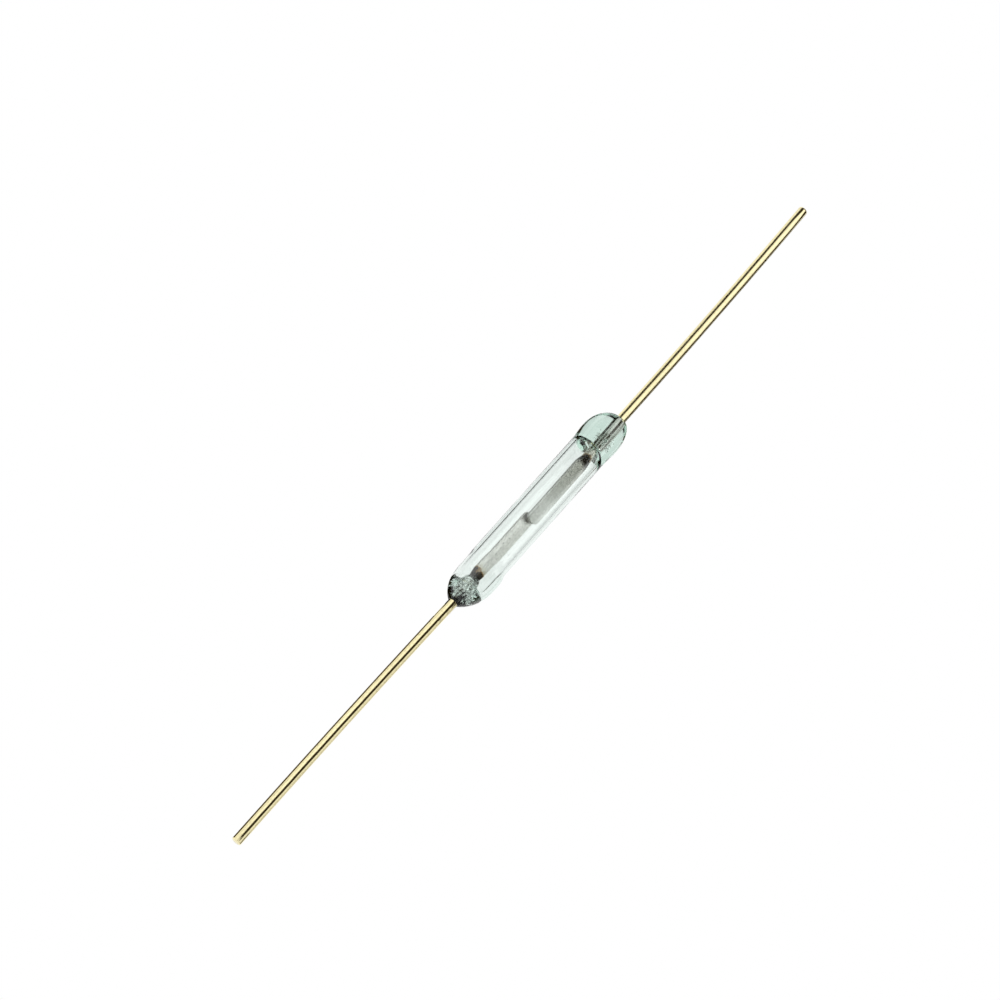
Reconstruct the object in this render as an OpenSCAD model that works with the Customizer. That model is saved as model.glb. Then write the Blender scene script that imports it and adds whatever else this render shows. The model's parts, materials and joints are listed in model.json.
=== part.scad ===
// Glass reed switch: two stamped nickel-iron reeds sealed into the ends of a glass tube.
// X runs along the tube, the blades lie flat in XY, and the contact gap opens along Z.
// The origin is at the middle of the glass. The round bead is at +X, the tapered nose at -X.

/* [Overall] */
// Length from the cut end of one lead to the cut end of the other
overall_length = 45; // [38:0.5:60]

/* [Glass tube] */
// Length of the glass from tip to tip
glass_length = 13; // [11:0.1:16]
// Outer diameter of the plain tube
tube_diameter = 2; // [1.8:0.02:2.6]
// Thickness of the tube's wall
tube_wall = 0.2; // [0.15:0.01:0.3]
// Thin edge of glass left around a wire where it comes out of the glass
lead_lip = 0.04; // [0.02:0.01:0.1]

/* [Bead end] */
// Length of the round bead
bead_length = 1.35; // [1:0.05:1.8]
// How far the bead swells past the tube's surface
bead_swell = 0.06; // [0.02:0.01:0.12]
// Length over which that swelling fades into the plain tube
bead_fade = 1; // [0.6:0.05:1.6]
// Length of the skirt of glass drawn up round the wire where it leaves the bead
skirt_length = 0.5; // [0.2:0.05:0.8]
// Thickness of that skirt at its root
skirt_root = 0.3; // [0.12:0.01:0.4]
// Wire held in the glass at the bead
bead_seal_length = 2.06; // [1.6:0.02:2.6]
// Depth of the domed end of the gas space at the bead
bead_dome = 0.55; // [0.3:0.01:0.7]
// Round wire left bare between the seal and the shoulder of the bead's reed
bead_bare_wire = 0.62; // [0.2:0.02:0.9]

/* [Tapered nose] */
// Length of the tapered nose
nose_length = 2.3; // [1.8:0.05:2.8]
// Power of the nose's curve: the higher it is, the blunter the nose
nose_fullness = 3.5; // [2:0.1:5]
// How far the nose swells past the tube's surface
nose_swell = 0.04; // [0.02:0.01:0.12]
// Length over which that swelling fades into the plain tube
nose_fade = 0.6; // [0.3:0.05:1.6]
// Wire held in the glass at the nose
nose_seal_length = 1.25; // [1:0.01:1.8]
// Depth of the domed end of the gas space at the nose
nose_dome = 0.85; // [0.5:0.01:1.2]
// Round wire left bare between the seal and the shoulder of the nose's reed
nose_bare_wire = 0.22; // [0.05:0.01:0.4]

/* [Reeds] */
// Diameter of the lead wire
lead_diameter = 0.5; // [0.4:0.01:0.6]
// Bevel left by the cutter on a lead's free end
lead_bevel = 0.06; // [0.02:0.01:0.12]
// How far the nose's lead drops from the glass to its cut end
nose_lead_drop = 0.21; // [0.15:0.01:0.5]
// Distance from the glass to the slight bend from which a lead drops
bend_distance = 0.06; // [0.05:0.01:1]
// How much thicker the wire is in that bend
bend_swell = 0.003; // [0.002:0.001:0.01]
// Width of the stamped blade
blade_width = 0.7; // [0.6:0.01:0.85]
// Thickness of the stamped blade
blade_thickness = 0.18; // [0.12:0.01:0.26]
// Straight stretch left at the blade's rounded tip
tip_flat = 0.14; // [0.04:0.01:0.4]
// Length over which the round wire is stamped out into the blade
shoulder_length = 0.7; // [0.5:0.05:1]
// Flat stretch past the shoulder that stays with the lead when the blade bends
root_length = 0.12; // [0.05:0.01:0.4]

/* [Contact] */
// Gap between the blades with the switch open
contact_gap = 0.15; // [0.08:0.01:0.25]
// Length over which the two tips lie over each other
contact_overlap = 0.45; // [0.3:0.01:0.7]
// Place of the contact along the tube, from the middle of the glass
contact_place = -0.6; // [-1:0.05:1]

/* [Hidden] */
$fn = 96;

glass_half = glass_length / 2;
tube_radius = tube_diameter / 2;
bore_radius = tube_radius - tube_wall;
lead_radius = lead_diameter / 2;
lip_radius = lead_radius + lead_lip;
blade_half = blade_width / 2;
tip_corner = blade_half - tip_flat / 2;

// The nose's reed lies on the tube's axis, the bead's reed a blade and the gap above it
reed_offset = blade_thickness + contact_gap;
lead_exposed = (overall_length - glass_length) / 2;

// Blades run from the end of their shoulder to the far side of the overlap
nose_blade_start = nose_seal_length + nose_bare_wire + shoulder_length + root_length;
bead_blade_start = bead_seal_length + bead_bare_wire + shoulder_length + root_length;
nose_blade_length = glass_half + contact_place + contact_overlap / 2 - nose_blade_start;
bead_blade_length = glass_half - contact_place + contact_overlap / 2 - bead_blade_start;

// The die edge that stamps the shoulder is an arc that ends level with the flat
die_drop = lead_radius - blade_thickness / 2;
die_radius = (shoulder_length * shoulder_length + die_drop * die_drop) / (2 * die_drop);

// Steps along a melted end or a dome, along a fade into the tube, and along a shoulder's flare
dome_steps = 16;
fade_steps = 8;
flare_steps = 8;
// Power by which the points of the nose's curve crowd towards its lip
taper_crowding = 1.5;
// Length by which a cut or a joining piece runs past the face that it goes through
past = 0.1;

glass_colour = [0.80, 0.91, 0.87, 0.45];
gold_colour = [0.84, 0.70, 0.38];
blade_colour = [0.64, 0.63, 0.60];

// Smooth rise from 0 to 1
function ease(u) = (1 - cos(180 * u)) / 2;

// Quarter ellipse as [radius, depth], from the inner radius at its top out to the outer one
function quarter_round(inner, outer, depth) = [
    for (i = [0:dome_steps])
        let (turn = 90 * i / dome_steps)
        [inner + (outer - inner) * sin(turn), depth * (1 - cos(turn))]];

// A taper that rises steeply at the lip on the wire and flattens out, with its points closer at the lip
function taper(outer, length) = [
    for (i = [0:dome_steps])
        let (u = pow(i / dome_steps, taper_crowding))
        [lip_radius + (outer - lip_radius) * (1 - pow(1 - u, nose_fullness)), length * u]];

// The fade of a swelling into the plain tube, from the depth at which it starts
function fade(swell, start, length) = [
    for (i = [1:fade_steps])
        let (u = i / fade_steps)
        [tube_radius + swell * (1 - ease(u)), start + length * u]];

function reversed(points) = [for (i = [len(points) - 1:-1:0]) points[i]];

// An end's outline, given as [radius, depth], set at the nose or at the bead as [radius, place along X]
function at_nose(points) = [for (p = points) [p.x, p.y - glass_half]];
function at_bead(points) = [for (p = reversed(points)) [p.x, glass_half - p.y]];

// Turns a shape drawn along Z so that it runs along +X
module along_x() {
    rotate([0, 90, 0]) children();
}

// Frame of the nose's reed: the origin is where its wire leaves the glass, +X runs inwards, +Z down
module nose_reed() {
    translate([-glass_half, 0, 0]) rotate([180, 0, 0]) children();
}

// The same for the bead's reed
module bead_reed() {
    translate([glass_half, 0, reed_offset]) rotate([0, 180, 0]) children();
}

module glass_outside() {
    nose = concat(taper(tube_radius + nose_swell, nose_length), fade(nose_swell, nose_length, nose_fade));
    bead = concat(quarter_round(0, tube_radius + bead_swell, bead_length),
                  fade(bead_swell, bead_length, bead_fade));
    along_x() rotate_extrude() polygon(concat([[0, -glass_half]], at_nose(nose), at_bead(bead)));
}

// Glass drawn up round the wire that leaves the bead beside its top
module skirt() {
    outline = quarter_round(lip_radius, lead_radius + skirt_root, skirt_length);
    bead_reed() along_x() rotate_extrude()
        polygon(concat([[0, 0]], outline, [[0, skirt_length]]));
}

// The gas space: the tube's bore with a domed end round each wire
module cavity() {
    nose = quarter_round(lead_radius, bore_radius, nose_dome);
    bead = quarter_round(lead_radius, bore_radius, bead_dome);
    along_x() rotate_extrude() polygon(concat(
        [[0, nose_seal_length - glass_half]],
        at_nose([for (p = nose) [p.x, p.y + nose_seal_length]]),
        at_bead([for (p = bead) [p.x, p.y + bead_seal_length]]),
        [[0, glass_half - bead_seal_length]]));
}

// The way of one wire through the glass and out past the domed end of the gas space
module wire_way(seal, dome) {
    translate([-past, 0, 0]) along_x() cylinder(d = lead_diameter, h = seal + dome + past);
}

module glass_envelope() {
    color(glass_colour) difference() {
        union() {
            glass_outside();
            skirt();
        }
        cavity();
        nose_reed() wire_way(nose_seal_length, nose_dome);
        bead_reed() wire_way(bead_seal_length, bead_dome);
    }
}

// Round wire from the bend inwards, which flares to the blade's width, before it is pressed flat
module flared_wire(seal, bare) {
    flare_start = seal + bare;
    flare_end = flare_start + shoulder_length;
    along_x() rotate_extrude() polygon(concat(
        [[0, -bend_distance], [lead_radius, -bend_distance]],
        [for (i = [0:flare_steps])
            let (u = i / flare_steps)
            [lead_radius + (blade_half - lead_radius) * ease(u), flare_start + shoulder_length * u]],
        [[blade_half, flare_end + root_length], [0, flare_end + root_length]]));
}

// What the upper die takes away: an arc down the shoulder, then the flat
module die(flat_start) {
    translate([flat_start, blade_width, blade_thickness / 2]) rotate([90, 0, 0])
        linear_extrude(2 * blade_width) union() {
            translate([0, die_radius]) circle(die_radius, $fn = 192);
            square([root_length + past, die_radius]);
        }
}

// A lead from its bend inwards: sealed wire, bare wire and the stamped shoulder
module stamped_wire(seal, bare) {
    flat_start = seal + bare + shoulder_length;
    difference() {
        flared_wire(seal, bare);
        die(flat_start);
        mirror([0, 0, 1]) die(flat_start);
    }
}

// A lead from its bend outwards, with a bevelled cut end, running along +Z
module bevelled_lead(length) {
    rotate_extrude() polygon([
        [0, 0],
        [lead_radius, 0],
        [lead_radius, length - lead_bevel],
        [lead_radius - lead_bevel, length],
        [0, length]]);
}

// A whole lead: its wire drops from the bend to its cut end, by the drop given
module lead(seal, bare, drop) {
    reach = lead_exposed - bend_distance;
    stamped_wire(seal, bare);
    translate([-bend_distance, 0, 0]) {
        sphere(lead_radius + bend_swell);
        rotate([0, atan(drop / reach) - 90, 0]) bevelled_lead(norm([drop, reach]));
    }
}

// Flat spring blade with the bulged edges of a pressed wire and a rounded tip
module blade(start, length) {
    translate([start, 0, 0]) intersection() {
        along_x() rotate_extrude() intersection() {
            square([blade_half, length]);
            union() {
                square([blade_half, length - tip_corner]);
                square([tip_flat / 2, length]);
                translate([tip_flat / 2, length - tip_corner]) circle(tip_corner);
            }
        }
        translate([-past, -blade_width, -blade_thickness / 2])
            cube([length + 2 * past, 2 * blade_width, blade_thickness]);
    }
}

module nose_lead() {
    color(gold_colour) nose_reed() lead(nose_seal_length, nose_bare_wire, nose_lead_drop);
}

module nose_blade() {
    color(blade_colour) nose_reed() blade(nose_blade_start, nose_blade_length);
}

// This lead drops until its cut end is back on the tube's axis
module bead_lead() {
    color(gold_colour) bead_reed() lead(bead_seal_length, bead_bare_wire, reed_offset);
}

module bead_blade() {
    color(blade_colour) bead_reed() blade(bead_blade_start, bead_blade_length);
}

glass_envelope();
nose_lead();
nose_blade();
bead_lead();
bead_blade();
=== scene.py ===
import json
import math
import random

import bmesh
import bpy
from mathutils import Matrix, Vector


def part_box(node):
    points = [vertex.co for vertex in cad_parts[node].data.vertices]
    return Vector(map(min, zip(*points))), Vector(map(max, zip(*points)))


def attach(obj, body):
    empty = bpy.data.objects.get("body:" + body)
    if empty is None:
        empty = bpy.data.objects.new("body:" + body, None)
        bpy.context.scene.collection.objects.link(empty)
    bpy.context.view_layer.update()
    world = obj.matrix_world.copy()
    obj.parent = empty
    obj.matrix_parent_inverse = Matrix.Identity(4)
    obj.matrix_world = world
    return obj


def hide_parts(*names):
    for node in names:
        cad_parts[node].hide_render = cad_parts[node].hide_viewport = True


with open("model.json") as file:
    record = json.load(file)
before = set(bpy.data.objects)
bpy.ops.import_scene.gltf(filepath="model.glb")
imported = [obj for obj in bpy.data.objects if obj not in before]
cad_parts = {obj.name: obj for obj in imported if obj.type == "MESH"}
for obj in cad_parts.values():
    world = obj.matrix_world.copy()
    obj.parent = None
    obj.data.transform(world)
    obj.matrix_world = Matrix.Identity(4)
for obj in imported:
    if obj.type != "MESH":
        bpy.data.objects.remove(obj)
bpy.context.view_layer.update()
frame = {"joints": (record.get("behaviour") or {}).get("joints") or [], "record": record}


# The two leads. Each is the outer part of a reed: drawn nickel-iron wire, cut to length at its free end,
# plated pale gold outside the glass, fused into the glass, and stamped out flat at its inner end.
MM = 0.001
pins = {mount["name"]: mount for mount in frame["record"]["mounts"]}
lead_radius = pins["nose_lead_pin"]["dims"]["r_mm"] * MM
glass_low, glass_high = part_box("glass_envelope")
glass_half = glass_high.x
hinge = {joint["child"]: Vector(joint["pos_m"]) for joint in frame["joints"]}
wire_height = {-1: hinge["nose_reed"].z, 1: hinge["bead_reed"].z}
blade_half_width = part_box("bead_blade")[1].y
blade_half_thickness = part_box("bead_blade")[1].z - wire_height[1]
shoulder_length = 0.70 * MM
root_length = 0.12 * MM
lead_bevel = 0.06 * MM
bend_distance = 0.06 * MM
straight_steps = 12
flare_steps = 10
reed_ring_points = 64
reed_smooth_angle = 30
# the turns of the rounded cut, in degrees, and the way in Y and Z that a lead is bowed
cut_angles = (75, 50, 25)
bow_way = (0.866, -0.5)


def start_ring(name, points, place, cap="NOTHING"):
    """Adds a circle that stands across the tube at a place given as x, y, z and radius, ready to draw out"""
    x, y, z, radius = place
    bpy.ops.object.select_all(action="DESELECT")
    bpy.ops.mesh.primitive_circle_add(vertices=points, radius=radius, fill_type=cap,
                                      location=(x, y, z), rotation=(0, math.pi / 2, 0))
    bpy.ops.object.transform_apply(location=True, rotation=True, scale=True)
    bpy.context.object.name = name
    bpy.ops.object.mode_set(mode="EDIT")
    return bpy.context.object


def draw_out(places):
    """Extrudes the selected ring from its place to each of the next ones"""
    for old, new in zip(places, places[1:]):
        shift = tuple(b - a for a, b in zip(old[:3], new[:3]))
        swell = new[3] / old[3]
        bpy.ops.mesh.extrude_region_move(TRANSFORM_OT_translate={"value": shift})
        bpy.ops.transform.resize(value=(1, swell, swell), center_override=new[:3])


def select_verts(chosen):
    """Selects the vertices that pass a test, and nothing else"""
    wire = bmesh.from_edit_mesh(bpy.context.object.data)
    for vert in wire.verts:
        vert.select = chosen(vert.co)
    wire.select_flush_mode()
    bmesh.update_edit_mesh(bpy.context.object.data)


def press_flat(x, height, half_thickness):
    """Presses the ring at x between two dies, as the stamping does"""
    near = 0.001 * MM
    for side in (1, -1):
        face = height + side * half_thickness
        select_verts(lambda co: abs(co.x - x) < near and side * (co.z - face) > 0)
        bpy.ops.transform.resize(value=(1, 1, 0), center_override=(x, 0, face))


def close_up(piece, smooth_angle):
    """Turns the faces outwards, leaves edit mode and shades the round stretches smooth"""
    bpy.ops.mesh.select_all(action="SELECT")
    bpy.ops.mesh.normals_make_consistent(inside=False)
    bpy.ops.mesh.select_all(action="DESELECT")
    bpy.ops.object.mode_set(mode="OBJECT")
    bpy.ops.object.shade_smooth_by_angle(angle=math.radians(smooth_angle))
    return piece


def ease(u):
    """Smooth rise from 0 to 1"""
    return (1 - math.cos(math.pi * u)) / 2


def make_lead(name, side, pin, seam, cut_round, bow):
    """side is -1 at the nose and 1 at the bead, seam is where the blade starts, bow is a slight hand bend"""
    height = wire_height[side]
    flat_start = seam + side * root_length
    flare_start = flat_start + side * shoulder_length
    half_pin = pin["dims"]["length_mm"] / 2 * MM
    pin_end = Vector(pin["pos_m"]) + Vector(pin["axis"]) * (half_pin + lead_bevel)
    places = []
    for angle in cut_angles:
        turn = math.radians(angle)
        x = pin_end.x - side * cut_round * (1 - math.sin(turn))
        places.append((x, 0, pin_end.z, lead_radius - cut_round * (1 - math.cos(turn))))
    for i in range(straight_steps + 1):
        u = i / straight_steps
        x = (pin_end.x - side * cut_round) * (1 - u) + side * (glass_half + bend_distance) * u
        sag = bow * 4 * u * (1 - u)
        z = pin_end.z * (1 - u) + height * u + bow_way[1] * sag
        places.append((x, bow_way[0] * sag, z, lead_radius))
    places.append((flare_start, 0, height, lead_radius))
    for i in range(1, flare_steps + 1):
        u = i / flare_steps
        radius = lead_radius + (blade_half_width - lead_radius) * ease(u)
        places.append((flare_start - side * shoulder_length * u, 0, height, radius))
    places.append((seam, 0, height, blade_half_width))

    lead = start_ring(name, reed_ring_points, places[0], cap="NGON")
    draw_out(places)
    bpy.ops.mesh.edge_face_add()
    die_drop = lead_radius - blade_half_thickness
    die_radius = (shoulder_length ** 2 + die_drop ** 2) / (2 * die_drop)
    for x, _, _, _ in places[-flare_steps - 1:]:
        lift = max(0, side * (x - flat_start))
        gap = blade_half_thickness + die_radius - math.sqrt(die_radius ** 2 - lift ** 2)
        press_flat(x, height, gap)
    return close_up(lead, reed_smooth_angle)


nose_lead = make_lead("nose_lead_wire", -1, pins["nose_lead_pin"], hinge["nose_reed"].x,
                      cut_round=0.05 * MM, bow=0.04 * MM)
bead_lead = make_lead("bead_lead_wire", 1, pins["bead_lead_pin"], hinge["bead_reed"].x,
                      cut_round=0.11 * MM, bow=-0.05 * MM)
for lead in (nose_lead, bead_lead):
    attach(lead, "envelope")
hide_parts("nose_lead")
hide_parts("bead_lead")


# The two blades. Each is the inner part of the same stamped wire: a flat satin spring with the bulged edges
# of a pressed wire and a round-cornered tip. The two tips lie over each other across the contact gap, and
# each blade starts a hair's breadth clear of its lead, so that it can turn there.
tip_flat = 0.14 * MM
seam_relief = 0.003 * MM
plain_steps = 6
corner_steps = 12


def make_blade(name, side, seam, tip):
    """side is -1 at the nose and 1 at the bead, seam is where the lead ends, tip is the free end"""
    height = wire_height[side]
    corner = blade_half_width - tip_flat / 2
    inwards = -side
    root = seam + inwards * seam_relief
    corner_start = tip - inwards * corner
    places = [(root, 0, height, blade_half_width)]
    for i in range(1, plain_steps + 1):
        places.append((root + (corner_start - root) * i / plain_steps, 0, height, blade_half_width))
    for i in range(1, corner_steps + 1):
        turn = math.radians(90 * i / corner_steps)
        x = corner_start + inwards * corner * math.sin(turn)
        places.append((x, 0, height, tip_flat / 2 + corner * math.cos(turn)))

    blade = start_ring(name, reed_ring_points, places[0], cap="NGON")
    draw_out(places)
    bpy.ops.mesh.edge_face_add()
    for x, _, _, radius in places:
        if radius > blade_half_thickness:
            press_flat(x, height, blade_half_thickness)
    return close_up(blade, reed_smooth_angle)


nose_blade = make_blade("nose_spring_blade", -1, hinge["nose_reed"].x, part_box("nose_blade")[1].x)
bead_blade = make_blade("bead_spring_blade", 1, hinge["bead_reed"].x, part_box("bead_blade")[0].x)
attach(nose_blade, "nose_reed")
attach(bead_blade, "bead_reed")
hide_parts("nose_blade")
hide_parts("bead_blade")


# The finish of a reed, from its gold-plated lead to its satin blade. The heat of sealing has left bands of
# oxide and temper colour by the glass, so colour and gloss go by the depth inside the glass tip.
deepest_band = 8.0
ragged_reach = 0.90 * MM
reed_relief = 0.024 * MM
line_relief_share = 0.12
wire_stretch = (0.02, 1, 1)


def add_node(tree, kind, *numbered, **named):
    """Adds a shader node; its inputs get values, or the output sockets that feed them"""
    node = tree.nodes.new(kind)
    for label, value in [*enumerate(numbered), *named.items()]:
        if isinstance(value, bpy.types.NodeSocket):
            tree.links.new(value, node.inputs[label])
        else:
            node.inputs[label].default_value = value
    return node


def calculate(tree, operation, *values):
    """Adds a math node and gives its result"""
    node = add_node(tree, "ShaderNodeMath", *values)
    node.operation = operation
    return node.outputs[0]


def spread(tree, value, old, new):
    """Maps a value from its old range to a new one"""
    ends = {"From Min": old[0], "From Max": old[1], "To Min": new[0], "To Max": new[1]}
    return add_node(tree, "ShaderNodeMapRange", Value=value, **ends).outputs[0]


def colour_ramp(tree, value, stops, blending="LINEAR"):
    """Runs a value through stops, each a position and a colour"""
    ramp = add_node(tree, "ShaderNodeValToRGB", Fac=value)
    ramp.color_ramp.interpolation = blending
    marks = ramp.color_ramp.elements
    while len(marks) < len(stops):
        marks.new(1.0)
    for mark, (position, colour) in zip(marks, stops):
        mark.position = position
        mark.color = colour
    return ramp


def grey(level):
    return (level, level, level, 1)


def new_finish(name):
    finish = bpy.data.materials.new(name)
    finish.use_nodes = True
    tree = finish.node_tree
    return finish, tree, tree.nodes["Principled BSDF"]


def reed_finish(name, bands):
    """bands are depth in mm, colour and roughness; depth counts inwards from the glass tip"""
    finish, tree, shader = new_finish(name)
    place = add_node(tree, "ShaderNodeTexCoord").outputs["Object"]
    x = add_node(tree, "ShaderNodeSeparateXYZ", Vector=place).outputs["X"]
    ragged = add_node(tree, "ShaderNodeTexNoise", Vector=place, Scale=4200.0, Detail=4.0, Roughness=0.7)
    away = calculate(tree, "ABSOLUTE", x)
    wobble = calculate(tree, "MULTIPLY_ADD", ragged.outputs["Fac"], ragged_reach, away)
    outermost = glass_half + ragged_reach / 2
    depth = spread(tree, wobble, (outermost, outermost - deepest_band * MM), (0, 1))
    band = colour_ramp(tree, depth, [(millimetres / deepest_band, (*colour, roughness))
                                     for millimetres, colour, roughness in bands])

    along_wire = add_node(tree, "ShaderNodeMapping", Vector=place, Scale=wire_stretch)
    drawn = add_node(tree, "ShaderNodeTexNoise", Vector=along_wire.outputs[0], Scale=9000.0, Detail=4.0)
    lines = spread(tree, drawn.outputs["Fac"], (0.3, 0.7), (0.86, 1.06))
    grain = add_node(tree, "ShaderNodeTexNoise", Vector=place, Scale=9000.0, Detail=3.0, Roughness=0.7)
    specks = colour_ramp(tree, grain.outputs["Fac"], (
        (0.27, (0.15, 0.14, 0.12, 1)), (0.33, grey(0.82)), (0.68, grey(1.12))))
    marks = calculate(tree, "MULTIPLY", lines, specks.outputs["Color"])
    shade = add_node(tree, "ShaderNodeMix", Factor=1.0)
    shade.data_type = "RGBA"
    shade.blend_type = "MULTIPLY"
    tree.links.new(band.outputs["Color"], shade.inputs[6])
    tree.links.new(marks, shade.inputs[7])
    tree.links.new(shade.outputs[2], shader.inputs["Base Color"])
    tree.links.new(band.outputs["Alpha"], shader.inputs["Roughness"])
    shader.inputs["Metallic"].default_value = 1.0

    wave = add_node(tree, "ShaderNodeTexNoise", Vector=place, Scale=1400.0, Detail=1.0)
    relief = calculate(tree, "MULTIPLY_ADD", drawn.outputs["Fac"], line_relief_share, wave.outputs["Fac"])
    bump = add_node(tree, "ShaderNodeBump", Height=relief, Strength=0.6, Distance=reed_relief)
    tree.links.new(bump.outputs[0], shader.inputs["Normal"])
    return finish


pale_gold = (0.97, 0.87, 0.52)
sealed_wire = (0.66, 0.66, 0.61)
seared_wire = (0.97, 0.99, 0.96)
seared_grey = (0.40, 0.40, 0.37)
seared_dark = (0.08, 0.09, 0.08)
cream_wire = (0.86, 0.84, 0.74)
temper_brown = (0.42, 0.27, 0.13)
heat_black = (0.045, 0.040, 0.034)
dark_satin = (0.48, 0.47, 0.42)
worn_satin = (0.54, 0.54, 0.50)
satin = (0.70, 0.70, 0.67)
pale_satin = (0.85, 0.84, 0.80)
gold_roughness = 0.07

# along the nose seal the wire is mottled, bright stretches between short dark ones, in mm
mottle_count = 6
mottle_start = 0.30
mottle_pitch = 0.20
bright_length = 0.10
dark_middle = 0.15
mottles = []
for i in range(mottle_count):
    depth = mottle_start + mottle_pitch * i
    mottles += [(depth, seared_wire, 0.12), (depth + bright_length, seared_wire, 0.12),
                (depth + dark_middle, seared_dark, 0.25)]
nose_finish = reed_finish("nose_reed_finish", [
    (0.00, pale_gold, gold_roughness), (0.12, pale_gold, gold_roughness), (0.20, seared_grey, 0.30), *mottles,
    (1.62, heat_black, 0.35), (1.98, heat_black, 0.40), (2.06, temper_brown, 0.42), (2.18, cream_wire, 0.40),
    (2.45, pale_satin, 0.40), (5.40, pale_satin, 0.38), (6.40, satin, 0.38)])
bead_finish = reed_finish("bead_reed_finish", [
    (0.00, pale_gold, gold_roughness), (0.15, sealed_wire, 0.18), (2.20, sealed_wire, 0.18),
    (2.32, cream_wire, 0.35), (2.62, cream_wire, 0.35), (2.72, temper_brown, 0.40), (2.82, heat_black, 0.50),
    (3.05, heat_black, 0.48), (3.35, dark_satin, 0.42), (4.90, worn_satin, 0.40), (6.20, satin, 0.38),
    (7.30, satin, 0.36)])
for piece in (nose_lead, nose_blade):
    piece.data.materials.append(nose_finish)
for piece in (bead_lead, bead_blade):
    piece.data.materials.append(bead_finish)


# The glass envelope: one length of drawn tube, slipped over both reeds and melted down onto the wires.
# One end has flowed into a full round bead, the other into a tapered nose, and gas fills the space between.
tube_radius = 1.0 * MM
bore_radius = 0.8 * MM
lip_radius = lead_radius + 0.04 * MM
wire_way_radius = lead_radius - 0.0005 * MM
glass_ring_points = 128
glass_smooth_angle = 50
dome_steps = 28
fade_steps = 8


def fade_out(rings, swollen_radius, length, drift):
    """Lets a swelling and its sideways drift fade into the plain tube, the way that the rings run"""
    x = rings[-1][0]
    onwards = math.copysign(length, -x)
    for i in range(1, fade_steps + 1):
        u = i / fade_steps
        left = 1 - ease(u)
        radius = tube_radius + (swollen_radius - tube_radius) * left
        rings.append((x + onwards * u, drift[0] * left, drift[1] * left, radius))


def bead_dome(start, length, inner_radius, outer_radius):
    """Rings of a quarter round that swings from the bead wire's own height to the middle of the tube"""
    rings = []
    for i in range(dome_steps + 1):
        turn = math.radians(90 * i / dome_steps)
        rise = math.sin(turn)
        x = start - length * (1 - math.cos(turn))
        rings.append((x, 0, wire_height[1] * (1 - rise), inner_radius + (outer_radius - inner_radius) * rise))
    return rings


# the bead outside, and the domed end of the gas space behind it
bead_length = 1.35 * MM
bead_radius = tube_radius + 0.06 * MM
bead_fade = 1.0 * MM
bead_seal = 2.06 * MM
cavity_dome = 0.55 * MM
bead_outside = bead_dome(glass_half, bead_length, lip_radius, bead_radius)
fade_out(bead_outside, bead_radius, bead_fade, (0, 0))
bead_cavity = bead_dome(glass_half - bead_seal, cavity_dome, wire_way_radius, bore_radius)

# the nose: steep at the wire, flattening out, and sagged a little to one side while it was soft
nose_length = 2.3 * MM
nose_radius = tube_radius + 0.04 * MM
nose_fade = 0.6 * MM
nose_fullness = 3.5
nose_sag = (-0.0606 * MM, 0.035 * MM)
ring_crowding = 1.5
sag_rate = 1.2
nose_outside = []
for i in range(dome_steps + 1):
    u = (i / dome_steps) ** ring_crowding
    rise = 1 - (1 - u) ** nose_fullness
    sag = ease(min(1, sag_rate * u))
    nose_outside.append((-glass_half + nose_length * u, nose_sag[0] * sag, nose_sag[1] * sag,
                         lip_radius + (nose_radius - lip_radius) * rise))
fade_out(nose_outside, nose_radius, nose_fade, nose_sag)

# the nose glass has crept along the wire into the gas space, as a collar with a rounded rim, and the gas
# reaches further towards the tip in a groove between the collar and the tube's wall: depth and radius in mm
nose_cavity = [(-glass_half + depth * MM, 0, wire_height[-1], radius * MM) for depth, radius in (
    (1.62, 0.2495), (1.615, 0.30), (1.58, 0.345), (1.51, 0.375), (1.42, 0.39), (1.33, 0.40), (1.24, 0.41),
    (1.15, 0.425), (1.08, 0.45), (1.03, 0.49), (1.01, 0.54), (1.01, 0.60), (1.04, 0.66), (1.10, 0.71),
    (1.20, 0.75), (1.33, 0.775), (1.50, 0.790), (1.75, 0.797), (2.10, 0.80))]
nose_mouth = (-glass_half, 0, wire_height[-1], wire_way_radius)
bead_mouth = (glass_half, 0, wire_height[1], wire_way_radius)
glass_rings = ([nose_mouth] + nose_outside + bead_outside[::-1]
               + [bead_mouth] + bead_cavity + nose_cavity[::-1] + [nose_mouth])
glass = start_ring("glass_envelope_tube", glass_ring_points, glass_rings[0])
draw_out(glass_rings)
bpy.ops.mesh.select_all(action="SELECT")
bpy.ops.mesh.remove_doubles(threshold=0.0001 * MM)

# the melt has run further along one side of the tube than along the other, so both ends of the gas space tilt
melt_way = (0.866, -0.5)
bead_tilt = 0.30
bead_tilt_reach = (2 * MM, 5.5 * MM)
nose_tilt = 0.15
nose_tilt_reach = (-5.8 * MM, -2 * MM)
soft_glass = bmesh.from_edit_mesh(glass.data)
for vert in soft_glass.verts:
    off_wire = Vector((vert.co.y, vert.co.z - wire_height[1])) if vert.co.x > 0 else Vector(vert.co.yz)
    inside = vert.co.yz.length < bore_radius + 0.001 * MM and off_wire.length > lead_radius
    sideways = melt_way[0] * vert.co.y + melt_way[1] * vert.co.z
    if inside and bead_tilt_reach[0] < vert.co.x < bead_tilt_reach[1]:
        vert.co.x += bead_tilt * sideways
    if inside and nose_tilt_reach[0] < vert.co.x < nose_tilt_reach[1]:
        vert.co.x -= nose_tilt * sideways
bmesh.update_edit_mesh(glass.data)
close_up(glass, glass_smooth_angle)

# gas caught where the melt met the wires: a froth along the nose seal, bubbles at the bead's inner end, and
# one larger bubble at each
chance = random.Random(11)
froth_outline = 8
large_outline = 24
bubble_clearance = 1.02
tries_each = 60


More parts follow.
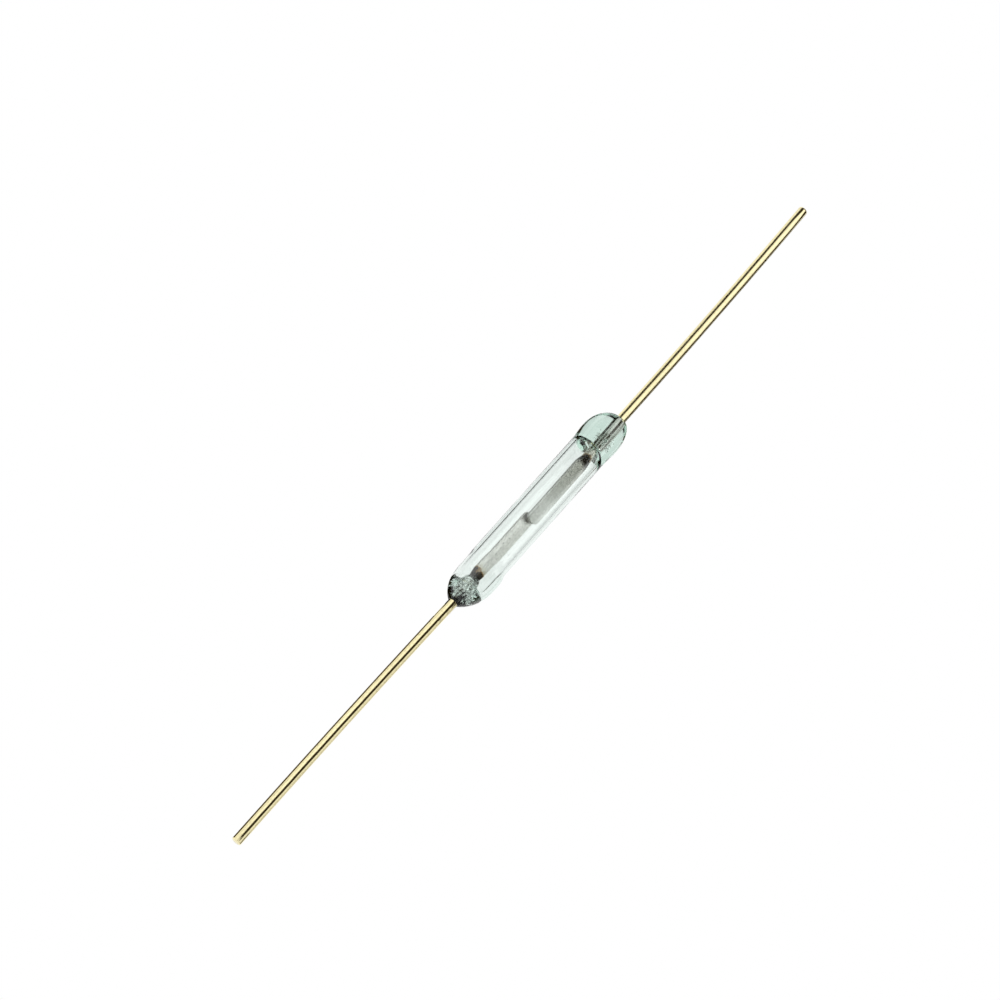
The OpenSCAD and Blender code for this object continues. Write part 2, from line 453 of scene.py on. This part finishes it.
def blow_bubble(place, radius, stretch, outline):
    """One bubble, a closed skin that faces into its own gas"""
    bpy.ops.object.select_all(action="DESELECT")
    bpy.ops.mesh.primitive_uv_sphere_add(segments=outline, ring_count=outline * 3 // 4, radius=radius,
                                         location=place, rotation=(0, math.pi / 2, 0))
    bubble = bpy.context.object
    bubble.scale = (1, 1, stretch)
    bpy.ops.object.transform_apply(location=True, rotation=True, scale=True)
    bpy.ops.object.mode_set(mode="EDIT")
    bpy.ops.mesh.select_all(action="SELECT")
    bpy.ops.mesh.flip_normals()
    bpy.ops.object.mode_set(mode="OBJECT")
    bpy.ops.object.shade_smooth()
    return bubble


def fill_with_bubbles(count, sizes, side, deep, off_wire, kept_clear):
    """Blows bubbles by chance close round a sealed wire, none of them touching another

    sizes are radii, deep is the reach inwards from the glass tip, off_wire is the room to the wire, in mm
    """
    bubbles = []
    for _ in range(tries_each * count):
        if len(bubbles) == count:
            break
        radius = chance.uniform(*sizes) * MM
        depth = chance.uniform(*deep) * MM
        away = lead_radius + radius + chance.uniform(*off_wire) * MM
        around = chance.uniform(0, 2 * math.pi)
        place = Vector((side * (glass_half - depth), away * math.cos(around),
                        wire_height[side] + away * math.sin(around)))
        if all((place - other).length > bubble_clearance * (radius + size) for other, size in kept_clear):
            kept_clear.append((place, radius))
            bubbles.append(blow_bubble(place, radius, stretch=1, outline=froth_outline))
    return bubbles


nose_bubble_place = Vector((-glass_half + 0.62 * MM, -0.38 * MM, 0.22 * MM))
nose_bubble_room = 0.18 * MM
nose_taken = [(nose_bubble_place, nose_bubble_room)]
froth = [blow_bubble(nose_bubble_place, radius=0.14 * MM, stretch=1.3, outline=large_outline)]
froth += fill_with_bubbles(48, sizes=(0.036, 0.058), side=-1, deep=(0.58, 1.43), off_wire=(0.002, 0.008),
                           kept_clear=nose_taken)
froth += fill_with_bubbles(60, sizes=(0.016, 0.028), side=-1, deep=(0.48, 1.54), off_wire=(0.003, 0.02),
                           kept_clear=nose_taken)
bead_bubble_place = Vector((glass_half - 1.62 * MM, 0.11 * MM, wire_height[1] + 0.35 * MM))
bead_bubble_room = 0.11 * MM
bead_taken = [(bead_bubble_place, bead_bubble_room)]
froth.append(blow_bubble(bead_bubble_place, radius=0.095 * MM, stretch=1.1, outline=large_outline))
froth += fill_with_bubbles(16, sizes=(0.045, 0.085), side=1, deep=(1.42, 1.82), off_wire=(0.004, 0.04),
                           kept_clear=bead_taken)
froth += fill_with_bubbles(26, sizes=(0.018, 0.036), side=1, deep=(1.05, 1.88), off_wire=(0.004, 0.14),
                           kept_clear=bead_taken)
bpy.ops.object.select_all(action="DESELECT")
for bubble in froth:
    bubble.select_set(True)
glass.select_set(True)
bpy.context.view_layer.objects.active = glass
bpy.ops.object.join()
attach(glass, "envelope")
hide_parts("glass_envelope")

# clear mint glass with faint drawn lines, smears and ripples, greener where it is thick
tube_stretch = (0.03, 1, 1)
ripple_depth = 0.02 * MM
mint_glass, tree, shader = new_finish("mint_glass")
shader.inputs["Transmission Weight"].default_value = 1.0
shader.inputs["IOR"].default_value = 1.5
place = add_node(tree, "ShaderNodeTexCoord").outputs["Object"]
along_tube = add_node(tree, "ShaderNodeMapping", Vector=place, Scale=tube_stretch)
drawn_lines = add_node(tree, "ShaderNodeTexNoise", Vector=along_tube.outputs[0], Scale=9000.0, Detail=3.0)
haze = colour_ramp(tree, drawn_lines.outputs["Fac"], (
    (0.30, (0.944, 0.966, 0.955, 1)), (0.70, (0.966, 0.983, 0.975, 1))))
tree.links.new(haze.outputs["Color"], shader.inputs["Base Color"])
smears = add_node(tree, "ShaderNodeTexNoise", Vector=place, Scale=1500.0, Detail=3.0)
tree.links.new(spread(tree, smears.outputs["Fac"], (0.45, 0.75), (0.0, 0.05)), shader.inputs["Roughness"])
flow = add_node(tree, "ShaderNodeTexNoise", Vector=place, Scale=700.0, Detail=1.0)
ripple = add_node(tree, "ShaderNodeBump", Height=flow.outputs["Fac"], Strength=0.5, Distance=ripple_depth)
tree.links.new(ripple.outputs[0], shader.inputs["Normal"])
absorb = add_node(tree, "ShaderNodeVolumeAbsorption", Color=(0.052, 0.478, 0.291, 1), Density=230.0)
tree.links.new(absorb.outputs[0], tree.nodes["Material Output"].inputs["Volume"])
glass.data.materials.append(mint_glass)


# The studio, which isn't part of the switch: a white light table in a dark room, soft boxes that the wires
# and blades mirror, dark cards on the table that are painted shadows and darken the edges mirrored in the
# switch, and a camera that looks down on it all.
def glowing_surface(name, colour, strength):
    """A matt stage surface that gives off light by itself, or hardly any"""
    surface, tree, glow = new_finish(name)
    glow.inputs["Base Color"].default_value = (0, 0, 0, 1)
    glow.inputs["Specular IOR Level"].default_value = 0.0
    glow.inputs["Emission Color"].default_value = (*colour, 1)
    glow.inputs["Emission Strength"].default_value = strength
    return surface, tree, glow.inputs["Emission Color"]


def stage_panel(name, middle, turned, size, surface):
    """Puts up a flat panel on the stage"""
    bpy.ops.object.select_all(action="DESELECT")
    bpy.ops.mesh.primitive_plane_add(size=1, location=middle, rotation=turned)
    panel = bpy.context.object
    panel.name = name
    panel.scale = (size[0], size[1], 1)
    bpy.ops.object.transform_apply(location=True, rotation=True, scale=True)
    panel.data.materials.append(surface)
    return panel


def spot_on_panel(tree):
    """Where a point lies on its panel, as shares of its length and width"""
    return add_node(tree, "ShaderNodeSeparateXYZ", Vector=add_node(tree, "ShaderNodeTexCoord").outputs["UV"])


white = (1, 1, 1)
lying_flat = (0, 0, 0)
floor_side = 3
table_white, _, _ = glowing_surface("table_white", white, 1.0)
floor = stage_panel("floor", (0, 0, glass_low.z), lying_flat, (floor_side, floor_side), table_white)

# each soft box: its reach along the tube in mm, and round it in degrees from overhead towards -Y, then how
# bright it is at its long edges and along its middle
box_distance = 70 * MM
for name, along, around, edge, core in (("near_side_box", (-150, 36), (-90, -34), 0.95, 1.25),
                                        ("near_top_box", (-150, 20.5), (14, 55), 0.80, 0.95),
                                        ("end_top_box", (-150, -16), (-31, 14), 0.95, 0.90),
                                        ("blade_top_box", (24.5, 40), (14, 55), 1.90, 2.20),
                                        ("near_low_box", (-5, 24.5), (57, 82), 0.68, 0.92),
                                        ("nose_low_box", (-60, 2), (57, 66), 0.60, 0.60),
                                        ("far_top_box", (40, 95), (-54, 44), 0.80, 1.30)):
    facing = math.radians(sum(around) / 2)
    half_angle = math.radians(around[1] - around[0]) / 2
    middle = (sum(along) / 2 * MM, -box_distance * math.sin(facing), box_distance * math.cos(facing))
    size = ((along[1] - along[0]) * MM, 2 * box_distance * math.tan(half_angle))
    light, tree, glow = glowing_surface(name + "_light", white, 1.0)
    fall = colour_ramp(tree, spot_on_panel(tree).outputs["Y"],
                       ((0, grey(edge)), (0.5, grey(core)), (1, grey(edge))), "EASE")
    tree.links.new(fall.outputs["Color"], glow)
    box = stage_panel(name, middle, (facing, 0, 0), size, light)
    box.visible_camera = False

# a dim wall past the near lead's end
upright = (0, math.pi / 2, 0)
far_wall, _, _ = glowing_surface("far_wall_grey", white, 0.30)
wall = stage_panel("end_wall", (-160 * MM, 0, 50 * MM), upright, (100 * MM, 600 * MM), far_wall)
wall.visible_camera = False

# painted shadow: the olive cards stand in for the shade that the leads and their neighbours cast on the
# table, seen in the leads' edges
olive_painted_shadow, _, _ = glowing_surface("olive_painted_shadow", (0.30, 0.22, 0.07), 0.28)
# painted shade: the black cards stand in for the deeper shade on the table under the nose and the bead, and
# put a dark streak into the far lead's reflection
black_painted_shade, _, _ = glowing_surface("black_painted_shade", (1, 0.8, 0.4), 0.02)

# the strip beside the tube is its soft shadow, which fades out away from the tube and towards the nose
shadow = 0.02
tube_shade, tree, glow = glowing_surface("tube_shade", white, 1.0)
spot = spot_on_panel(tree)
towards_nose = colour_ramp(tree, spot.outputs["X"],
                           ((0, grey(1)), (0.16, grey(shadow)), (1, grey(shadow))), "EASE")
off_tube = colour_ramp(tree, spot.outputs["Y"],
                       ((0, grey(shadow)), (0.30, grey(shadow)), (1, grey(1))), "EASE")
tree.links.new(calculate(tree, "MAXIMUM", towards_nose.outputs["Color"], off_tube.outputs["Color"]), glow)

# each card lies on the table as a painted shadow that shows only in reflections and through the glass: its
# reach along the tube and across it in mm
card_lift = 0.02 * MM
for name, along, across, surface in (("near_lead_shadow_card", (-22.35, -7.3), (-0.6, 1.7), olive_painted_shadow),
                                     ("near_tip_shadow_card", (-7.3, -6.45), (0.45, 1.3), olive_painted_shadow),
                                     ("far_lead_shadow_card", (7.0, 24), (-12.0, -0.5), olive_painted_shadow),
                                     ("far_streak_shade_card", (8.0, 45), (5.0, 30.0), black_painted_shade),
                                     ("tube_card", (-5.0, 4.65), (1.2, 2.4), tube_shade),
                                     ("bead_shadow_card", (4.70, 6.80), (0.55, 3.2), black_painted_shade),
                                     ("nose_shadow_card", (-6.45, -5.35), (-1.7, 1.9), black_painted_shade)):
    middle = (sum(along) / 2 * MM, sum(across) / 2 * MM, glass_low.z + card_lift)
    size = ((along[1] - along[0]) * MM, (across[1] - across[0]) * MM)
    card = stage_panel(name, middle, lying_flat, size, surface)
    card.visible_camera = False

# the room is dark to all that is mirrored in the switch, and white where the camera looks past the table
room = bpy.data.worlds.new("dark_room")
room.use_nodes = True
tree = room.node_tree
dark_walls = tree.nodes["Background"]
dark_walls.inputs["Color"].default_value = (0.036, 0.028, 0.013, 1)
white_sweep = add_node(tree, "ShaderNodeBackground", Color=(1, 1, 1, 1))
seen_by = add_node(tree, "ShaderNodeLightPath").outputs["Is Camera Ray"]
walls = add_node(tree, "ShaderNodeMixShader", seen_by, dark_walls.outputs[0], white_sweep.outputs[0])
tree.links.new(walls.outputs[0], tree.nodes["World Output"].inputs["Surface"])
bpy.context.scene.world = room

# the camera looks down from the nose end: the tube leans out of its picture by tilt, is seen from turn past
# overhead, and runs to the right and up by the two shares
tilt = math.radians(24)
turn = math.radians(30)
axis_right, axis_up = 0.669, 0.743
aim_right, aim_up = -1.726 * MM, 0.480 * MM
camera_distance = 178.6 * MM
towards = Vector((-math.sin(tilt), math.cos(tilt) * math.sin(turn), math.cos(tilt) * math.cos(turn)))
axis_shown = Vector((math.cos(tilt), math.sin(tilt) * math.sin(turn), math.sin(tilt) * math.cos(turn)))
across_shown = Vector((0, -math.cos(turn), math.sin(turn)))
picture_right = axis_right * axis_shown + axis_up * across_shown
picture_up = axis_up * axis_shown - axis_right * across_shown
aim = aim_right * picture_right + aim_up * picture_up
bpy.ops.object.camera_add(location=aim + camera_distance * towards)
camera = bpy.context.object
camera.rotation_euler = Matrix((picture_right, picture_up, towards)).transposed().to_euler()
camera.data.sensor_width = 36
camera.data.lens = 132.6
camera.data.clip_start = 0.01
camera.data.clip_end = 10
bpy.context.scene.camera = camera
bpy.context.scene.view_settings.view_transform = "Standard"
